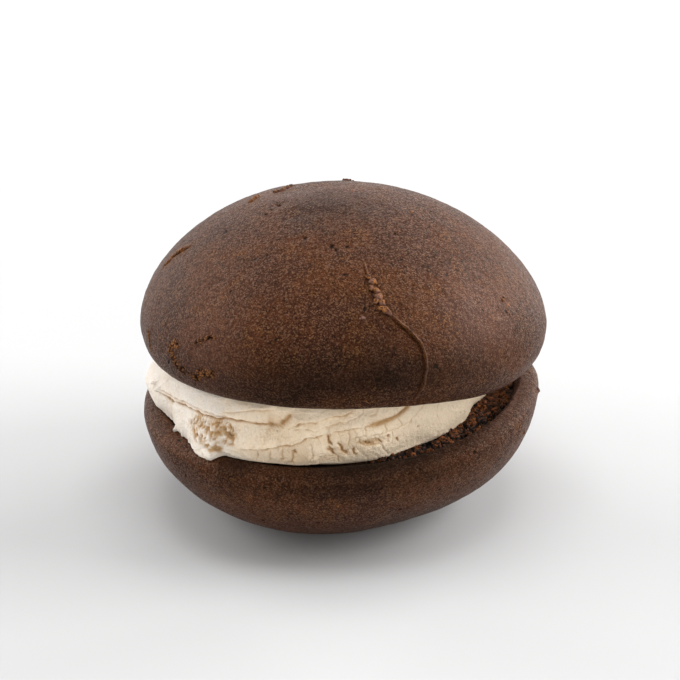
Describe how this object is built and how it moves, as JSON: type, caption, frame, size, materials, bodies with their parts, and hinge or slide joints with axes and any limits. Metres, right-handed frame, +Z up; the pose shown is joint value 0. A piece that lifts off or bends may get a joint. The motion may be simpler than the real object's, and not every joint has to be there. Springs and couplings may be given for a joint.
{
  "type": "whoopie pie",
  "caption": "Whoopie pie: two round chocolate cakes, dome sides out, with a thick layer of spread cream between their flat sides, tilted open at the front.",
  "frame": {"origin": "bottom centre of the bounding box, on the surface that the pie rests on", "axes": "+Z up, -Y towards the front where the cream is thickest, +X to the right seen from the front"},
  "size_m": [0.09, 0.0904, 0.0715],
  "materials": {
    "chocolate_crust": "baked chocolate cake crust, fine speckled grain with a faint satin sheen",
    "chocolate_cake": "baked chocolate cake, satin crust outside and dark open crumb on the flat side",
    "cream_filling": "matte ivory cream, spread and slightly dried"
  },
  "bodies": {
    "root": {"bottom_cake": "chocolate_cake", "filling": "cream_filling", "top_cake": "chocolate_crust"}
  },
  "joints": []
}
